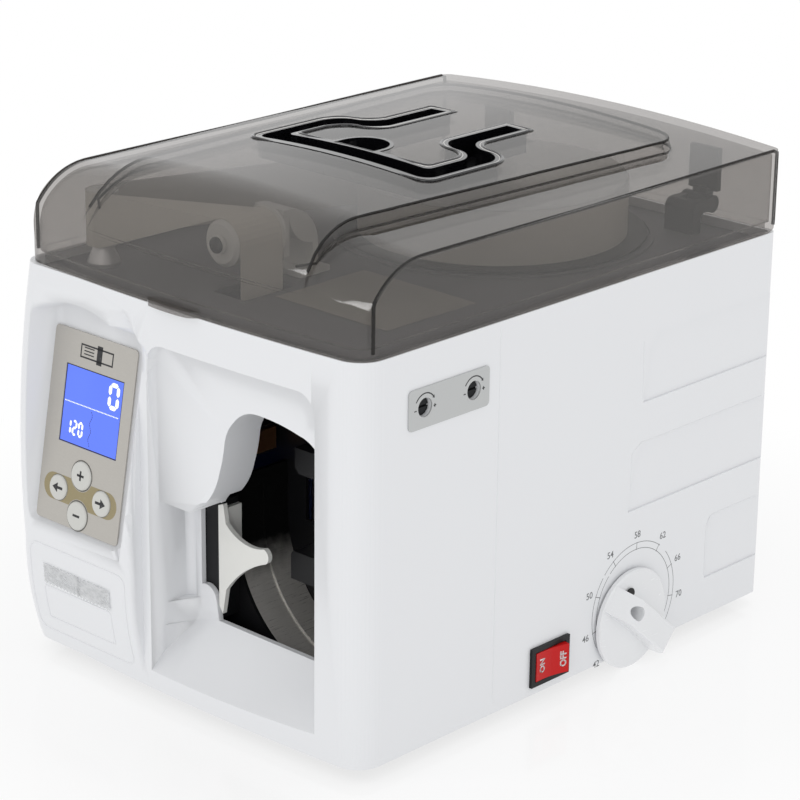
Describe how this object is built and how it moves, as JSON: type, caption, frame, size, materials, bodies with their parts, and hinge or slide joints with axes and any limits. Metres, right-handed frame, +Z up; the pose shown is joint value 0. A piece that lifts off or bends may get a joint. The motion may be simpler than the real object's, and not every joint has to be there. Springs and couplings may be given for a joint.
{
  "type": "banknote strapping machine",
  "caption": "Desk-top machine that bands bundles of banknotes with paper tape: white body, smoked hinged lid, note throat, tilted keypad console and a side dial for the stop.",
  "frame": {"origin": "on the desk, under the middle of the body's width, level with the undersides of the feet", "axes": "+X to the machine's right seen from the front, +Y from the front to the back, +Z up"},
  "size_m": [0.268, 0.3445, 0.2838],
  "materials": {
    "body_white": "gloss",
    "smoked_clear": "gloss",
    "black_plastic": "satin",
    "black_gloss": "gloss",
    "foot_rubber": "matt",
    "deck_grey": "satin",
    "plated_steel": "satin",
    "painted_steel": "satin",
    "label_silver": "satin",
    "display": "gloss",
    "key_grey": "satin",
    "knob_white": "gloss",
    "red_plastic": "gloss",
    "roller_rubber": "matt",
    "white_plastic": "satin",
    "paper": "matt",
    "board_green": "satin",
    "copper_coil": "satin",
    "aluminium": "satin"
  },
  "bodies": {
    "chassis": {"front_shell": "body_white", "rear_shell": "body_white", "base_plate": "painted_steel", "feet": "foot_rubber", "deck": "deck_grey", "hinge_posts": "black_plastic", "console_label": "label_silver", "display_module": "display", "switch_bezel": "black_plastic", "dial_bracket": "plated_steel", "stop_guides": "plated_steel", "tension_plate": "label_silver", "strap_track": "plated_steel", "track_cradle": "black_plastic", "frame_front": "painted_steel", "frame_rear": "painted_steel", "feed_motor": "plated_steel", "feed_belt": "roller_rubber", "anvil_jaw": "black_plastic", "press_guides": "plated_steel", "press_motor": "plated_steel", "head_solenoid": "painted_steel", "throat_column": "black_plastic", "throat_guide": "white_plastic", "reel_spindle": "aluminium", "guide_pin": "aluminium", "roller_bracket": "white_plastic", "paper_tape": "paper", "control_board": "board_green", "transformer": "painted_steel", "power_inlet": "black_plastic", "deck_support": "plated_steel"},
    "lid": {"lid": "smoked_clear", "lid_trim": "black_gloss", "hinge_arms": "black_plastic"},
    "key_plus": {"key_plus": "key_grey"},
    "key_minus": {"key_minus": "key_grey"},
    "key_back": {"key_back": "key_grey"},
    "key_feed": {"key_feed": "key_grey"},
    "rocker": {"power_rocker": "red_plastic"},
    "dial": {"dial_knob": "knob_white", "dial_shaft": "plated_steel"},
    "note_stop": {"note_stop_plate": "black_plastic", "stop_carriage": "black_plastic"},
    "tension_front": {"tension_screw_front": "plated_steel"},
    "tension_rear": {"tension_screw_rear": "plated_steel"},
    "drive": {"drive_roller": "roller_rubber", "drive_axle": "plated_steel"},
    "pinch": {"pinch_roller": "plated_steel"},
    "motor_pulley": {"motor_pulley": "aluminium"},
    "press": {"press_jaw": "black_plastic"},
    "press_pinion": {"press_pinion": "white_plastic"},
    "head": {"seal_head": "black_plastic", "heater_plate": "copper_coil", "cutter_blade": "plated_steel"},
    "reel": {"reel_table": "black_plastic", "tape_roll": "paper", "reel_cover": "black_plastic"},
    "guide_post": {"guide_post": "white_plastic"},
    "top_roller": {"top_roller": "white_plastic"}
  },
  "joints": [
    {"name": "lid_hinge", "type": "hinge", "parent": "chassis", "child": "lid", "pos_m": [0, 0.15375, 0.2331], "axis": [-1, 0, 0], "range_deg": [0, 75]},
    {"name": "key_plus_press", "type": "slide", "parent": "chassis", "child": "key_plus", "axis": [0, 0.9848, -0.1736], "range_m": [0, 0.001], "stiffness_N_per_m": 400, "springref_m": -0.0005},
    {"name": "key_minus_press", "type": "slide", "parent": "chassis", "child": "key_minus", "axis": [0, 0.9848, -0.1736], "range_m": [0, 0.001], "stiffness_N_per_m": 400, "springref_m": -0.0005},
    {"name": "key_back_press", "type": "slide", "parent": "chassis", "child": "key_back", "axis": [0, 0.9848, -0.1736], "range_m": [0, 0.001], "stiffness_N_per_m": 400, "springref_m": -0.0005},
    {"name": "key_feed_press", "type": "slide", "parent": "chassis", "child": "key_feed", "axis": [0, 0.9848, -0.1736], "range_m": [0, 0.001], "stiffness_N_per_m": 400, "springref_m": -0.0005},
    {"name": "rocker_tilt", "type": "hinge", "parent": "chassis", "child": "rocker", "pos_m": [0.1238, -0.0222, 0.024], "axis": [0, 0, 1], "range_deg": [0, 16]},
    {"name": "dial_turn", "type": "hinge", "parent": "chassis", "child": "dial", "pos_m": [0.125, 0.0435, 0.029], "axis": [-1, 0, 0], "range_deg": [-60, 180]},
    {"name": "stop_slide", "type": "slide", "parent": "chassis", "child": "note_stop", "axis": [0, 1, 0], "range_m": [-0.0081, 0.0241]},
    {"name": "tension_front_turn", "type": "hinge", "parent": "chassis", "child": "tension_front", "pos_m": [0.115, -0.1224, 0.1926], "axis": [1, 0, 0], "range_deg": [0, 270]},
    {"name": "tension_rear_turn", "type": "hinge", "parent": "chassis", "child": "tension_rear", "pos_m": [0.115, -0.0868, 0.1926], "axis": [1, 0, 0], "range_deg": [0, 270]},
    {"name": "drive_spin", "type": "hinge", "parent": "chassis", "child": "drive", "pos_m": [-0.0156, -0.106, 0.198], "axis": [0, 1, 0], "continuous": true},
    {"name": "pinch_spin", "type": "hinge", "parent": "chassis", "child": "pinch", "pos_m": [0.0014, -0.106, 0.198], "axis": [0, 1, 0], "continuous": true},
    {"name": "motor_spin", "type": "hinge", "parent": "chassis", "child": "motor_pulley", "pos_m": [-0.052, -0.0875, 0.16], "axis": [0, 1, 0], "continuous": true},
    {"name": "press_slide", "type": "slide", "parent": "chassis", "child": "press", "axis": [0, 0, -1], "range_m": [0, 0.038]},
    {"name": "press_pinion_spin", "type": "hinge", "parent": "chassis", "child": "press_pinion", "pos_m": [0.074, -0.0765, 0.15743], "axis": [0, 1, 0], "range_deg": [-280, 5]},
    {"name": "head_slide", "type": "slide", "parent": "chassis", "child": "head", "axis": [1, 0, 0], "range_m": [0, 0.003]},
    {"name": "reel_spin", "type": "hinge", "parent": "chassis", "child": "reel", "pos_m": [0.004, 0.062, 0.228], "axis": [0, 0, 1], "continuous": true},
    {"name": "guide_post_spin", "type": "hinge", "parent": "chassis", "child": "guide_post", "pos_m": [-0.1, -0.132, 0.245], "axis": [0, 0, 1], "continuous": true},
    {"name": "top_roller_spin", "type": "hinge", "parent": "chassis", "child": "top_roller", "pos_m": [-0.0188, -0.106, 0.245], "axis": [0, 1, 0], "continuous": true}
  ],
  "couplings": [
    {"joint": "stop_slide", "follows": "dial_turn", "m_per_rad": 0.00764},
    {"joint": "press_pinion_spin", "follows": "press_slide", "rad_per_m": -125},
    {"joint": "drive_spin", "follows": "reel_spin", "ratio": 7.8947},
    {"joint": "pinch_spin", "follows": "reel_spin", "ratio": -10.714},
    {"joint": "motor_spin", "follows": "reel_spin", "ratio": 11.715},
    {"joint": "top_roller_spin", "follows": "reel_spin", "ratio": 6},
    {"joint": "guide_post_spin", "follows": "reel_spin", "ratio": 8.8235}
  ]
}
